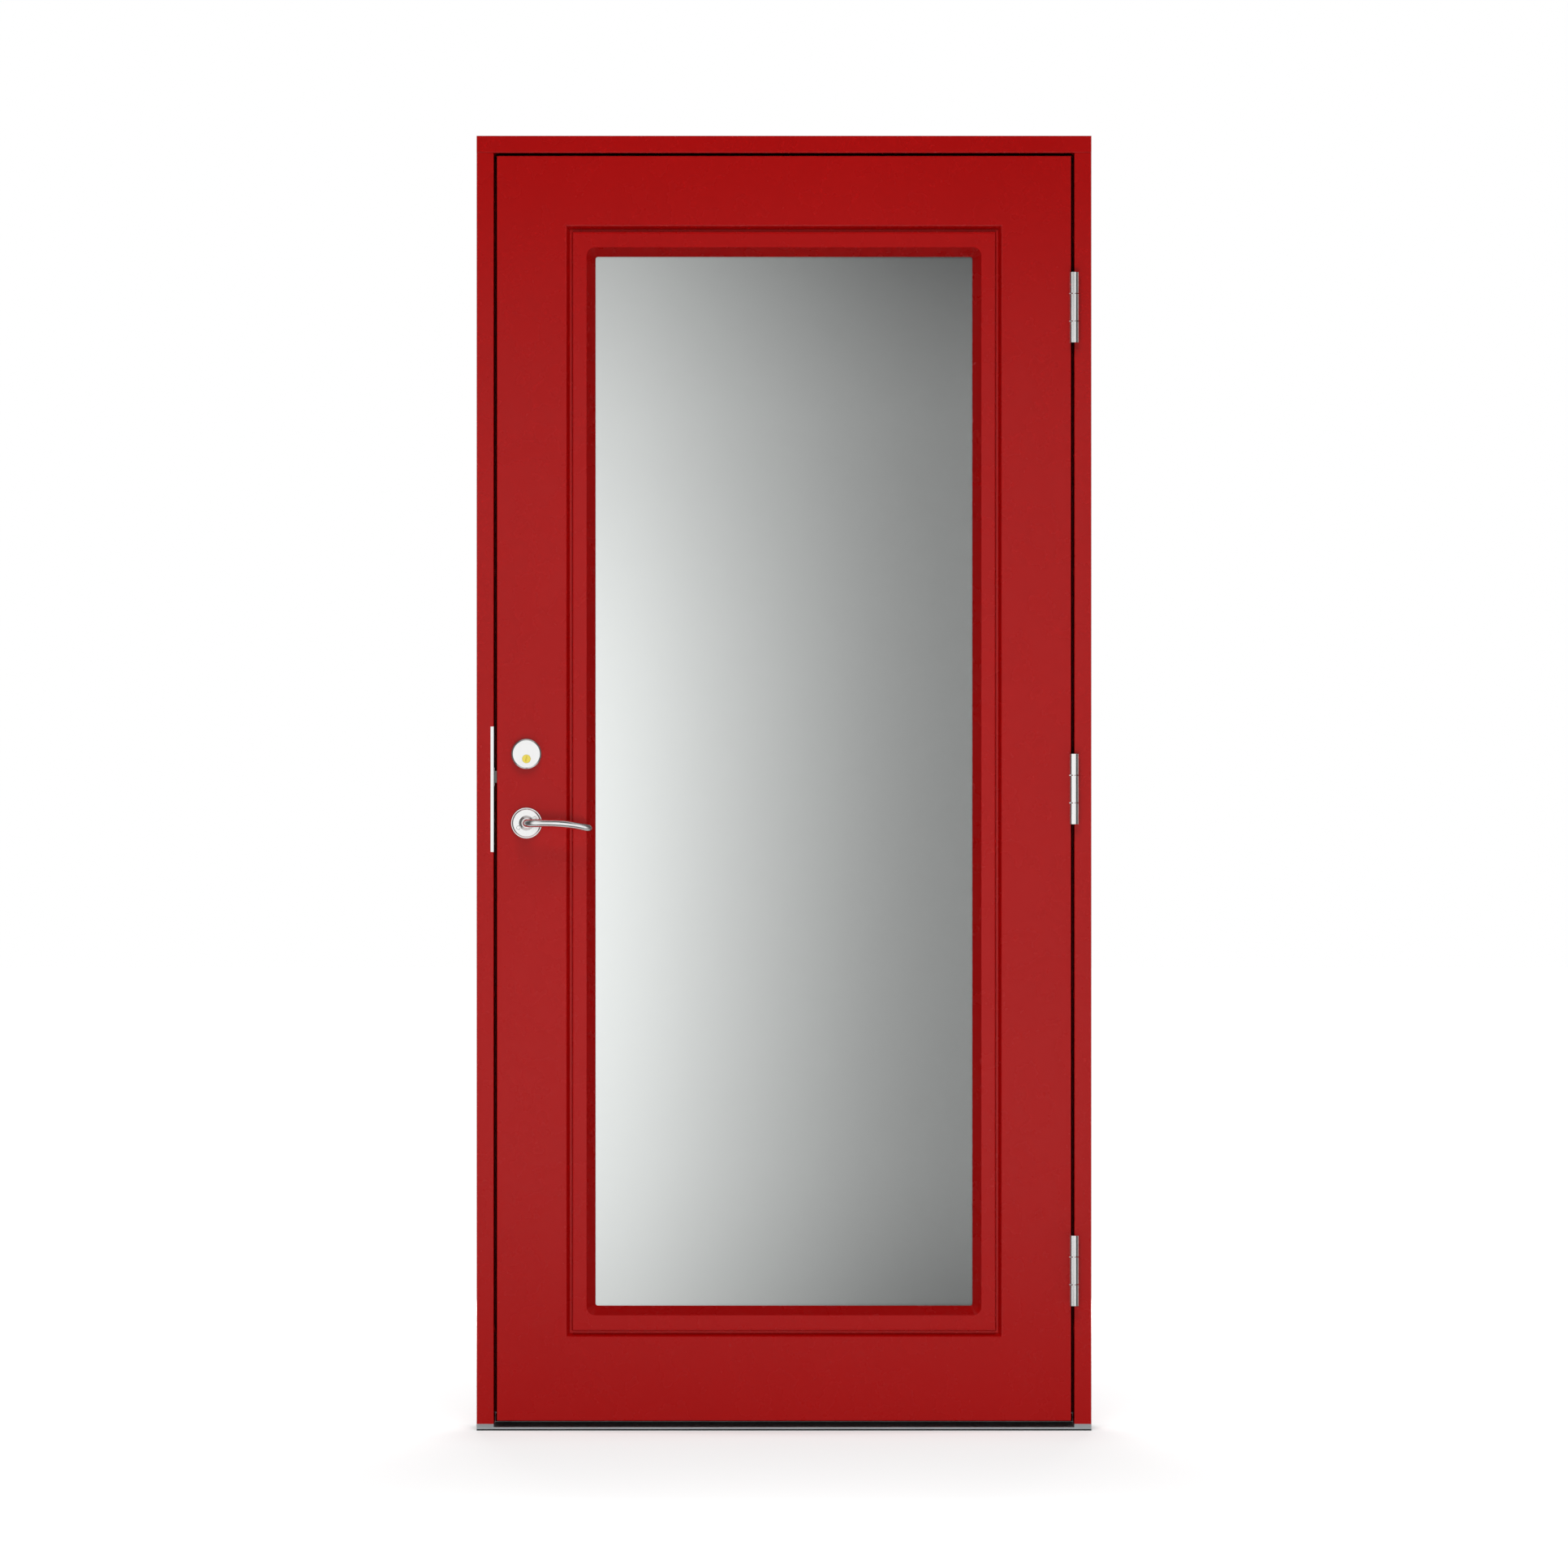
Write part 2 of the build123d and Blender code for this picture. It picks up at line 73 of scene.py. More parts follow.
# %% Camera
picture_width = 2.525
camera_height = 1.0411
camera_distance = 12.0

camera_data = bpy.data.cameras.new("door_camera")
camera_data.sensor_width = 36.0
camera_data.lens = camera_data.sensor_width * camera_distance / picture_width
camera = bpy.data.objects.new("door_camera", camera_data)
camera.location = (0.0, face_y - camera_distance, camera_height)
camera.rotation_euler = (math.radians(90), 0.0, 0.0)
bpy.context.scene.collection.objects.link(camera)
bpy.context.scene.camera = camera
bpy.context.scene.view_settings.view_transform = "Standard"
print("lens", round(camera_data.lens, 1), "mm")

# %% [markdown]
# ## A small kit for materials
# Every finish below starts from a Principled shader and adds a little unevenness that reads
# Object coordinates, so the pattern has a real size in metres and stays put on the piece.
# These two helpers only save typing: one adds a node and sets its sockets, one starts a material.


# %% Helpers for nodes and materials
def add_node(tree, kind, **sockets):
    """Adds a node and sets sockets by name, with spaces written as underscores."""
    node = tree.nodes.new(kind)
    for name, value in sockets.items():
        node.inputs[name.replace("_", " ")].default_value = value
    return node


def start_material(name, color, roughness, metallic=0.0):
    """A Principled material with its constants set on the shader's own sockets."""
    material = bpy.data.materials.new(name)
    material.use_nodes = True
    tree = material.node_tree
    shader = tree.nodes["Principled BSDF"]
    shader.inputs["Base Color"].default_value = (*color, 1.0)
    shader.inputs["Roughness"].default_value = roughness
    shader.inputs["Metallic"].default_value = metallic
    return material, tree, shader


# %% [markdown]
# The unevenness is always a noise. It can drive the gloss, blend two close colours, or stand for
# a fine relief. Nearly all values of a noise lie in the middle of its range, so only that
# middle is spread over the wanted values.

# %% Helpers for unevenness
noise_low, noise_high = 0.3, 0.7


def noise_on_object(tree, scale, detail, stretch=(1.0, 1.0, 1.0)):
    """Noise in metres on the piece, drawn out along an axis by a small stretch value."""
    coordinates = tree.nodes.new("ShaderNodeTexCoord")
    mapping = add_node(tree, "ShaderNodeMapping", Scale=stretch)
    noise = add_node(tree, "ShaderNodeTexNoise", Scale=scale, Detail=detail, Roughness=0.55)
    tree.links.new(coordinates.outputs["Object"], mapping.inputs["Vector"])
    tree.links.new(mapping.outputs["Vector"], noise.inputs["Vector"])
    return noise.outputs["Fac"]


def between(tree, factor, low, high):
    """Spreads the middle of a noise over a range of values."""
    spread = add_node(tree, "ShaderNodeMapRange", From_Min=noise_low, From_Max=noise_high,
                      To_Min=low, To_Max=high)
    tree.links.new(factor, spread.inputs["Value"])
    return spread.outputs["Result"]


def blend_colors(tree, factor, first, second):
    """A ramp between two close colours."""
    ramp = tree.nodes.new("ShaderNodeValToRGB")
    stops = ((noise_low, first), (noise_high, second))
    for element, (position, color) in zip(ramp.color_ramp.elements, stops):
        element.position = position
        element.color = (*color, 1.0)
    tree.links.new(factor, ramp.inputs["Fac"])
    return ramp.outputs["Color"]


def bump(tree, shader, height, strength, distance):
    """Fine relief from a noise."""
    relief = add_node(tree, "ShaderNodeBump", Strength=strength, Distance=distance)
    tree.links.new(height, relief.inputs["Height"])
    tree.links.new(relief.outputs["Normal"], shader.inputs["Normal"])


# %% [markdown]
# ## Red paint
# The frame and the leaf are sprayed with a satin red. A sprayed coat is never quite even: the
# colour drifts a little over half a metre, the gloss over a few centimetres, and close up the
# surface has the faint ripple called orange peel. Each is one noise at its own size.

# %% Red paint
red_light = (0.372, 0.0024, 0.0024)
red_deep = (0.352, 0.0019, 0.0019)

red_paint, tree, shader = start_material("satin_red_paint", red_light, roughness=0.27)
shader.inputs["Specular IOR Level"].default_value = 0.32
drift = noise_on_object(tree, scale=2.2, detail=3.0)
tree.links.new(blend_colors(tree, drift, red_deep, red_light), shader.inputs["Base Color"])
gloss = noise_on_object(tree, scale=24.0, detail=3.0)
tree.links.new(between(tree, gloss, low=0.25, high=0.29), shader.inputs["Roughness"])
peel = noise_on_object(tree, scale=420.0, detail=2.0)
bump(tree, shader, peel, strength=0.03, distance=0.0004)
print("made", red_paint.name)

# %% [markdown]
# ## Steel and aluminium
# The hinges, the strike plate, the cylinder ring and the handle are polished stainless steel.
# Polishing leaves hair lines, so the gloss varies along fine upright streaks. The sill is natural
# aluminium, drawn through a die, with streaks along its length.

# %% Steel and aluminium
steel, tree, shader = start_material("polished_steel", (0.93, 0.93, 0.925), roughness=0.20,
                                     metallic=1.0)
streaks = noise_on_object(tree, scale=520.0, detail=3.0, stretch=(1.0, 1.0, 0.06))
tree.links.new(between(tree, streaks, low=0.16, high=0.26), shader.inputs["Roughness"])
bump(tree, shader, streaks, strength=0.04, distance=0.0001)

aluminium, tree, shader = start_material("drawn_aluminium", (0.62, 0.64, 0.66), roughness=0.36,
                                         metallic=0.88)
drawn = noise_on_object(tree, scale=700.0, detail=3.0, stretch=(0.02, 1.0, 1.0))
tree.links.new(between(tree, drawn, low=0.28, high=0.42), shader.inputs["Roughness"])
bump(tree, shader, drawn, strength=0.06, distance=0.0001)
print("made", steel.name, aluminium.name)

# %% [markdown]
# ## Brass and zinc
# The plug that takes the key is turned from brass. The latch bolt has a dull grey zinc plating
# with a cloudy colour. Its grey is darker than bright zinc: painted shade of the gap beside the
# strike plate, where it shows as a dark spot.

# %% Brass and zinc
brass, tree, shader = start_material("turned_brass", (0.88, 0.72, 0.13), roughness=0.24,
                                     metallic=1.0)
turned = noise_on_object(tree, scale=900.0, detail=2.0)
tree.links.new(between(tree, turned, low=0.18, high=0.32), shader.inputs["Roughness"])

# Zinc grey kept darker than real zinc: painted shade of the gap round the latch.
zinc_and_gap_shade, tree, shader = start_material("zinc_latch_and_gap_shade", (0.30, 0.32, 0.31), roughness=0.42,
                                    metallic=1.0)
plating = noise_on_object(tree, scale=300.0, detail=4.0)
tree.links.new(blend_colors(tree, plating, (0.25, 0.27, 0.26), (0.34, 0.36, 0.35)),
               shader.inputs["Base Color"])
print("made", brass.name, zinc_and_gap_shade.name)

# %% [markdown]
# ## Black rubber, black packer and grey spacer
# The seals are soft black rubber, the packer under the sill is a hard black composite, and the
# bars between the panes are matt grey. A fine grain keeps them from looking like flat black holes.

# %% Rubber, packer and spacer
black_specular = 0.15

black_rubber, tree, shader = start_material("seal_rubber", (0.008, 0.008, 0.008), roughness=0.72)
shader.inputs["Specular IOR Level"].default_value = black_specular
grain = noise_on_object(tree, scale=1600.0, detail=2.0)
tree.links.new(between(tree, grain, low=0.64, high=0.80), shader.inputs["Roughness"])
bump(tree, shader, grain, strength=0.15, distance=0.0002)

black_composite, tree, shader = start_material("sill_packer_black", (0.010, 0.010, 0.011),
                                               roughness=0.55)
shader.inputs["Specular IOR Level"].default_value = black_specular
speck = noise_on_object(tree, scale=380.0, detail=4.0)
tree.links.new(blend_colors(tree, speck, (0.007, 0.007, 0.008), (0.016, 0.016, 0.017)),
               shader.inputs["Base Color"])
bump(tree, shader, speck, strength=0.12, distance=0.0003)

spacer_grey, tree, shader = start_material("matt_grey_spacer", (0.22, 0.22, 0.23), roughness=0.5)
fleck = noise_on_object(tree, scale=500.0, detail=2.0)
tree.links.new(blend_colors(tree, fleck, (0.20, 0.20, 0.21), (0.25, 0.25, 0.26)),
               shader.inputs["Base Color"])
print("made", black_rubber.name, black_composite.name, spacer_grey.name)

# %% [markdown]
# ## Glass
# A sealed unit of three clear panes. The panes are real slabs, so the light bends on the way in
# and out, and each of the six faces reflects a little. Float glass isn't perfectly flat: a very
# slight long wave keeps its reflections from being ruler straight.

# %% Glass
glass, tree, shader = start_material("clear_float_glass", (0.975, 0.985, 0.98), roughness=0.0)
shader.inputs["IOR"].default_value = 1.5
shader.inputs["Transmission Weight"].default_value = 1.0
wave = noise_on_object(tree, scale=2.5, detail=1.0)
bump(tree, shader, wave, strength=0.02, distance=0.002)
print("made", glass.name)

# %% [markdown]
# ## Give each piece its finish
# The record lists which finish belongs to each piece, so the materials are handed out from there.
# The latch bolt is listed as steel like the rest of the lock. Here it gets its zinc plating,
# darkened with painted shade of the gap.

# %% Hand out the finishes
finishes = {"red_paint": red_paint, "steel": steel, "aluminium": aluminium, "brass": brass,
            "black_rubber": black_rubber, "black_composite": black_composite,
            "spacer_grey": spacer_grey, "glass": glass}
for row in frame["record"]["subparts"]:
    # The latch bolt takes the zinc that carries painted shade of the gap.
    finish = zinc_and_gap_shade if row["node"] == "latch_bolt" else finishes[row["material_slot"]]
    piece = frame["nodes"][row["node"]]
    piece.data.materials.clear()
    piece.data.materials.append(finish)

# %% [markdown]
# ## Screw heads
# Screws hold the rosettes, the hinge wings, the strike plate and the forend. A head is a short
# cone with a softened rim. The recess is cut the way a maker would think of it: two parallel
# cuts across the top mark out a slot, two more mark its ends, and the strip between them is
# pushed down. A second slot at right angles makes a cross.


# %% Helpers for a screw head
def cut(head, direction, distance):
    """Cuts the faces of a head along a plane square to a direction and keeps both sides."""
    bmesh.ops.bisect_plane(head, geom=head.verts[:] + head.edges[:] + head.faces[:], dist=1e-7,
                           plane_co=direction * distance, plane_no=direction)


def screw_head(radius, height, slot_width, arms):
    """A head that stands on z = 0 and looks along +Z, with a slot or a cross in its top."""
    top_radius = radius * 0.86
    rim_softness = radius * 0.12
    slot_reach = radius * 0.62
    slot_depth = height * 0.55
    head = bmesh.new()
    bmesh.ops.create_cone(head, cap_ends=True, segments=28, radius1=radius, radius2=top_radius,
                          depth=height, matrix=Matrix.Translation((0.0, 0.0, height / 2)))
    rim = [e for e in head.edges if all(v.co.z > height * 0.9 for v in e.verts)]
    bmesh.ops.bevel(head, geom=rim, offset=rim_softness, affect="EDGES", segments=3, profile=0.5,
                    material=-1)
    right, forward = Vector((1.0, 0.0, 0.0)), Vector((0.0, 1.0, 0.0))
    slot_sides = (right, forward)[:arms]
    slot_ends = (forward, right)[:arms]
    for direction in slot_sides:
        for side in (-1.0, 1.0):
            cut(head, direction, side * slot_width / 2)
    for direction in slot_ends:
        for side in (-1.0, 1.0):
            cut(head, direction, side * slot_reach)
    strip = []
    for face in head.faces:
        middle = face.calc_center_median()
        in_slot = any(abs(middle.dot(d)) < slot_width / 2 for d in slot_sides)
        if face.normal.z > 0.9 and in_slot and middle.length < slot_reach + height:
            strip.append(face)
    pushed = bmesh.ops.extrude_face_region(head, geom=strip)
    bmesh.ops.delete(head, geom=strip, context="FACES_ONLY")
    moved = [v for v in pushed["geom"] if isinstance(v, bmesh.types.BMVert)]
    bmesh.ops.translate(head, verts=moved, vec=(0.0, 0.0, -slot_depth))
    bmesh.ops.recalc_face_normals(head, faces=head.faces[:])
    return head


# %% [markdown]
# The heads of one plate are joined into one piece, with every vertex moved to its final place so
# that the piece itself stays at the origin. It rides on the body that the plate belongs to: a
# screw in the leaf swings with the leaf.


# %% Helpers to place the heads
def looking(direction, spot, turn):
    """A matrix that stands a head on a spot, looking along a direction, turned about itself."""
    aim = Vector(direction).to_track_quat("Z", "Y").to_matrix().to_4x4()
    return Matrix.Translation(spot) @ aim @ Matrix.Rotation(turn, 4, "Z")


def fasten(name, heads, body, material):
    """Joins placed heads into one piece that rides on a body."""
    mesh = bpy.data.meshes.new(name)
    together = bmesh.new()
    for head, place in heads:
        bmesh.ops.transform(head, matrix=place, verts=head.verts[:])
        head.to_mesh(mesh)
        together.from_mesh(mesh)
        head.free()
    together.to_mesh(mesh)
    together.free()
    mesh.materials.append(material)
    piece = bpy.data.objects.new(name, mesh)
    bpy.context.scene.collection.objects.link(piece)
    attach(piece, body)
    print("made", name, "with", len(heads), "heads,", len(mesh.polygons), "faces")


# %% [markdown]
# The rosette on each face is held by two slotted screws on a slanting line through the spindle.
# Their slots point in different directions, as they do when screws are driven home by hand.

# %% Rosette screws
rosette_screw = {"radius": 0.0034, "height": 0.0012, "slot_width": 0.0009, "arms": 1}
rosette_plate = 0.007
screw_circle = 0.0150
screw_tilt = math.radians(30)
for name, y, direction in (("outer_rosette_screws", face_y - rosette_plate, (0, -1, 0)),
                           ("inner_rosette_screws", inner_face_y + rosette_plate, (0, 1, 0))):
    heads = []
    for side in (-1, 1):
        spot = (handle_x + side * screw_circle * math.cos(screw_tilt), y,
                handle_z + side * screw_circle * math.sin(screw_tilt))
        place = looking(direction, spot, turn=0.4 + side * 0.5)
        heads.append((screw_head(**rosette_screw), place))
    fasten(name, heads, "leaf", steel)

# %% [markdown]
# The hinge wings lie in the gap between the leaf and the jamb, so their screws only show when
# the door is open. They are countersunk: the heads stand a hair proud of the wing.

# %% Hinge screws
wing_screw = {"radius": 0.0042, "height": 0.0005, "slot_width": 0.0011, "arms": 2}
wing_rows = (-0.040, 0.0, 0.040)
wing_columns = (0.014, 0.031, 0.014)
seal_to_wing = 0.0005
turn_per_metre = 20
jamb_wing_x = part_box("hinge_jamb_seal")[1].x + seal_to_wing
leaf_wing_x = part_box("hinge_stile")[1].x
for hinge in ("bottom", "middle", "top"):
    low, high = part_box(f"{hinge}_hinge_frame_half")
    middle = (low.z + high.z) / 2
    for owner, x, direction in (("frame", jamb_wing_x, (-1, 0, 0)),
                                ("leaf", leaf_wing_x, (1, 0, 0))):
        heads = []
        for row, column in zip(wing_rows, wing_columns):
            place = looking(direction, (x, face_y + column, middle + row), row * turn_per_metre)
            heads.append((screw_head(**wing_screw), place))
        fasten(f"{hinge}_hinge_{owner}_screws", heads, owner, steel)

# %% [markdown]
# The strike plate and the forend of the lock are each held by two screws near their ends. They
# face each other across the gap, so both sets sit half way through the depth of the lock.

# %% Strike and forend screws
plate_screw = {"radius": 0.0040, "height": 0.0005, "slot_width": 0.0011, "arms": 2}
end_margin = 0.014
plate_low, plate_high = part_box("strike_plate")
forend_low, forend_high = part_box("lock_case")
forend_y = (forend_low.y + forend_high.y) / 2
for name, owner, x, direction, bottom, top in (
        ("strike_screws", "frame", plate_high.x, (1, 0, 0), plate_low.z, plate_high.z),
        ("forend_screws", "leaf", forend_low.x, (-1, 0, 0), forend_low.z, forend_high.z)):
    heads = []
    for z in (bottom + end_margin, top - end_margin):
        heads.append((screw_head(**plate_screw), looking(direction, (x, forend_y, z), turn=z)))
    fasten(name, heads, owner, steel)

# %% [markdown]
# ## The studio
# The door stands on a plain white floor in front of nothing but white. White that only the
# camera, mirrors and glass can see comes from the Light Path node, so the background is white
# without throwing more light on the door. The matt surfaces get a weak even light instead.


# %% World
def seen_directly(tree):
    """1 for rays from the camera, from mirrors and through glass, else 0."""
    path = tree.nodes.new("ShaderNodeLightPath")
    first = tree.nodes.new("ShaderNodeMath")
    first.operation = "MAXIMUM"
    second = tree.nodes.new("ShaderNodeMath")
    second.operation = "MAXIMUM"
    tree.links.new(path.outputs["Is Camera Ray"], first.inputs[0])
    tree.links.new(path.outputs["Is Glossy Ray"], first.inputs[1])
    tree.links.new(first.outputs["Value"], second.inputs[0])
    tree.links.new(path.outputs["Is Transmission Ray"], second.inputs[1])
    return second.outputs["Value"]


white = (1.0, 1.0, 1.0, 1.0)
ambient = 0.07
world = bpy.data.worlds.new("white_studio")
bpy.context.scene.world = world
world.use_nodes = True
tree = world.node_tree
tree.nodes.clear()
output = tree.nodes.new("ShaderNodeOutputWorld")
seen = add_node(tree, "ShaderNodeBackground", Color=white, Strength=1.0)
lit = add_node(tree, "ShaderNodeBackground", Color=white, Strength=ambient)
choose = tree.nodes.new("ShaderNodeMixShader")
tree.links.new(seen_directly(tree), choose.inputs["Fac"])
tree.links.new(lit.outputs["Background"], choose.inputs[1])
tree.links.new(seen.outputs["Background"], choose.inputs[2])
tree.links.new(choose.outputs["Shader"], output.inputs["Surface"])
print("world", world.name, "with ambient light", ambient)

# %% [markdown]
# The floor and the cards further down are flat sheets that belong to the studio and not to the
# door. Each is a grid of one face, stretched and moved vertex by vertex, with a material that
# glows by itself.


# %% Helpers for sheets of the studio
def stage_plane(name, width, height, place):
    """A flat sheet of the studio, not part of the door."""
    sheet = bmesh.new()
    bmesh.ops.create_grid(sheet, x_segments=1, y_segments=1, size=0.5)
    bmesh.ops.scale(sheet, vec=(width, height, 1.0), verts=sheet.verts[:])
    bmesh.ops.transform(sheet, matrix=place, verts=sheet.verts[:])
    mesh = bpy.data.meshes.new(name)
    sheet.to_mesh(mesh)
    sheet.free()
    plane = bpy.data.objects.new(name, mesh)
    bpy.context.scene.collection.objects.link(plane)
    return plane


def glow_material(name):
    """An empty material with its output. It isn't sampled as a lamp, which keeps noise low."""
    material = bpy.data.materials.new(name)
    material.use_nodes = True
    material.cycles.emission_sampling = "NONE"
    tree = material.node_tree
    tree.nodes.clear()
    return material, tree, tree.nodes.new("ShaderNodeOutputMaterial")


# %% [markdown]
# The floor takes the shadow of the door, so it has to be a real matt surface. Far from the lamps
# it would turn grey. A glow of its own, weak by the door and full some metres away, lets it run
# into the white background without an edge. Mirrors and glass don't see the floor at all.

# %% Floor
floor_size = 60.0
floor_drop = 0.0004
floor_grey = (0.80, 0.80, 0.80, 1.0)
glow_near, glow_far = 1.2, 4.5
glow_weak, glow_full = 0.36, 1.0

floor = stage_plane("floor", floor_size, floor_size, Matrix.Translation((0.0, 0.0, -floor_drop)))
floor_white, tree, output = glow_material("floor_white")
matt = add_node(tree, "ShaderNodeBsdfDiffuse", Color=floor_grey)
glow = add_node(tree, "ShaderNodeEmission", Color=white)
both = tree.nodes.new("ShaderNodeAddShader")
coordinates = tree.nodes.new("ShaderNodeTexCoord")
away = tree.nodes.new("ShaderNodeVectorMath")
away.operation = "LENGTH"
brighten = add_node(tree, "ShaderNodeMapRange", From_Min=glow_near, From_Max=glow_far,
                    To_Min=glow_weak, To_Max=glow_full)
level = tree.nodes.new("ShaderNodeMath")
level.operation = "MULTIPLY"
tree.links.new(coordinates.outputs["Object"], away.inputs[0])
tree.links.new(away.outputs["Value"], brighten.inputs["Value"])
tree.links.new(seen_directly(tree), level.inputs[0])
tree.links.new(brighten.outputs["Result"], level.inputs[1])
tree.links.new(level.outputs["Value"], glow.inputs["Strength"])
tree.links.new(matt.outputs["BSDF"], both.inputs[0])
tree.links.new(glow.outputs["Emission"], both.inputs[1])
tree.links.new(both.outputs["Shader"], output.inputs["Surface"])
floor.data.materials.append(floor_white)
floor.visible_glossy = False
floor.visible_transmission = False
print("floor", tuple(floor.dimensions))

# %% [markdown]
# The lamps are large and soft, and the same before and behind the door. They light the matt
# surfaces only. What the paint and the metal mirror is set by the cards further down, so that
# reflections stay soft and the lamps leave no hot spots. Without multiple importance sampling
# nothing of a lamp is left in the gloss of the paint.


# %% Lamps
def soft_lamp(name, spot, aim, size, power):
    """A square soft box that points from one spot to another."""
    data = bpy.data.lights.new(name, "AREA")
    data.shape = "SQUARE"
    data.size = size
    data.energy = power
    data.cycles.use_multiple_importance_sampling = False
    lamp = bpy.data.objects.new(name, data)
    lamp.location = spot
    lamp.rotation_mode = "QUATERNION"
    lamp.rotation_quaternion = (Vector(aim) - Vector(spot)).to_track_quat("-Z", "Y")
    lamp.visible_glossy = False
    lamp.visible_transmission = False
    bpy.context.scene.collection.objects.link(lamp)
    print("lamp", name, power, "W")


for side, end in ((-1, "front"), (1, "back")):
    soft_lamp(f"{end}_high_lamp", spot=(0.0, side * 2.6, 4.2), aim=(0.0, 0.0, 2.0), size=2.0,
              power=80.0)
    soft_lamp(f"{end}_low_lamp", spot=(0.0, side * 3.0, 0.42), aim=(0.0, 0.0, 0.0), size=0.8,
              power=41.5)
for side, end in ((-1, "left"), (1, "right")):
    soft_lamp(f"{end}_side_lamp", spot=(side * 3.0, 0.25, 1.1), aim=(0.0, 0.0, 1.1), size=0.6,
              power=34.0)

# %% [markdown]
# ## Reflections
# Photographers hang paper round shiny things to choose what they mirror. Here six cards make a
# tent round the door: before and behind it, left and right, above and below. Each card glows with
# a ramp of brightness. A B-spline ramp is soft but only comes near its stops, so a level
# that has to be reached exactly is given twice.


# %% Helpers for ramps
def gradient(tree, axis, stops):
    """A ramp along an axis of the studio. Stops are (metres, brightness)."""
    coordinates = tree.nodes.new("ShaderNodeTexCoord")
    parts = tree.nodes.new("ShaderNodeSeparateXYZ")
    tree.links.new(coordinates.outputs["Object"], parts.inputs["Vector"])
    first, last = stops[0][0], stops[-1][0]
    along = add_node(tree, "ShaderNodeMapRange", From_Min=first, From_Max=last)
    tree.links.new(parts.outputs[axis], along.inputs["Value"])
    ramp = tree.nodes.new("ShaderNodeValToRGB")
    ramp.color_ramp.interpolation = "B_SPLINE"
    elements = ramp.color_ramp.elements
    while len(elements) < len(stops):
        elements.new(0.5)
    for element, (spot, level) in zip(elements, stops):
        element.position = (spot - first) / (last - first)
        element.color = (level, level, level, 1.0)
    tree.links.new(along.outputs["Result"], ramp.inputs["Fac"])
    return ramp.outputs["Color"]


def join_ramps(tree, operation, first, second):
    """Two ramps made into one, by MULTIPLY or MAXIMUM."""
    both = tree.nodes.new("ShaderNodeVectorMath")
    both.operation = operation
    tree.links.new(first, both.inputs[0])
    tree.links.new(second, both.inputs[1])
    return both.outputs["Vector"]


# %% [markdown]
# A card must not show in the picture or light the matt surfaces, and a look straight through the
# glass should not meet the ramp that is meant for mirrors. The Light Path node counts how often
# a ray has bounced, and in which way, so a card can show each kind of ray something else.


# %% Helpers for cards
def fresh_ray(tree, counters):
    """1 for a ray that hasn't bounced in any of the counted ways yet, else 0."""
    path = tree.nodes.new("ShaderNodeLightPath")
    bounces = tree.nodes.new("ShaderNodeMath")
    bounces.inputs[1].default_value = 0.0
    for socket, counter in zip(bounces.inputs, counters):
        tree.links.new(path.outputs[counter], socket)
    fresh = tree.nodes.new("ShaderNodeMath")
    fresh.operation = "LESS_THAN"
    fresh.inputs[1].default_value = 0.5
    tree.links.new(bounces.outputs["Value"], fresh.inputs[0])
    return fresh.outputs["Value"]


def hang_card(name, width, height, place):
    """Hangs a card and returns its node tree with the two sockets that still need a shader:
    the first shows in mirrors, the second to a straight look through glass."""
    card = stage_plane(name, width, height, place)
    material, tree, output = glow_material(name)
    choose = tree.nodes.new("ShaderNodeMixShader")
    tree.links.new(fresh_ray(tree, ("Diffuse Depth", "Glossy Depth")), choose.inputs["Fac"])
    tree.links.new(choose.outputs["Shader"], output.inputs["Surface"])
    card.data.materials.append(material)
    card.visible_camera = False
    card.visible_diffuse = False
    card.visible_shadow = False
    print("card", name, width, "by", height)
    return tree, choose.inputs[1], choose.inputs[2]


# %% [markdown]
# The front card is bright in the middle and dark towards its edges: the satin paint mirrors it as
# a soft grey veil that fades towards the top and the foot of the door, the steel as a bright face
# with dark outlines. On the inside the tent is bright out to its corners, for the wings of the
# opened hinges.

# %% Ramps of the tent
tent_reach, tent_half = 1.6, 2.4
tent_low, tent_top = -0.6, 4.2
dark, clear = 0.07, 0.85
across = ((-tent_half, dark), (-2.0, 0.5), (-1.6, 1.0), (1.6, 1.0), (2.0, 0.5), (tent_half, dark))
flanks = ((-1.2, 1.0), (-0.95, 0.9), (-0.8, 0.0), (0.8, 0.0), (0.95, 0.9), (1.2, 1.0))
upwards = ((-0.45, 0.0), (-0.1, 0.1), (0.12, 0.65), (0.35, 1.0), (1.7, 1.0), (1.93, 0.6),
           (2.12, 0.1), (2.4, 0.0))
level_across = ((-tent_half, dark), (-1.2, 0.8), (1.2, 0.8), (tent_half, dark))
level_deep = ((-0.7, dark), (-0.4, 1.0), (0.4, 1.0), (0.7, dark))
side_deep = ((-tent_reach, dark), (0.2, dark), (0.6, 0.6), (tent_reach, 0.6))


def inner_glow(tree):
    """Bright in the middle and out to the corners, falling off upwards and downwards."""
    return join_ramps(tree, "MAXIMUM", gradient(tree, "Z", upwards), gradient(tree, "X", flanks))


def outer_glow(tree):
    """The same with dark edges left and right, which give the steel its dark outlines."""
    return join_ramps(tree, "MULTIPLY", gradient(tree, "X", across), inner_glow(tree))


def side_glow(tree):
    """Dark on the outside of the door, light on the inside."""
    return gradient(tree, "Y", side_deep)


def level_glow(tree):
    """A bright strip right over and under the door."""
    return join_ramps(tree, "MULTIPLY", gradient(tree, "X", level_across),
                      gradient(tree, "Y", level_deep))


print("tent", 2 * tent_half, "by", 2 * tent_reach, "from z =", tent_low, "to", tent_top)

# %% [markdown]
# Now the six cards are hung. In mirrors a card shows its ramp, and goes dark for rays that have
# met a matt surface, so it adds no light to the shadows. Through the glass every card of the
# tent is the same plain light grey.

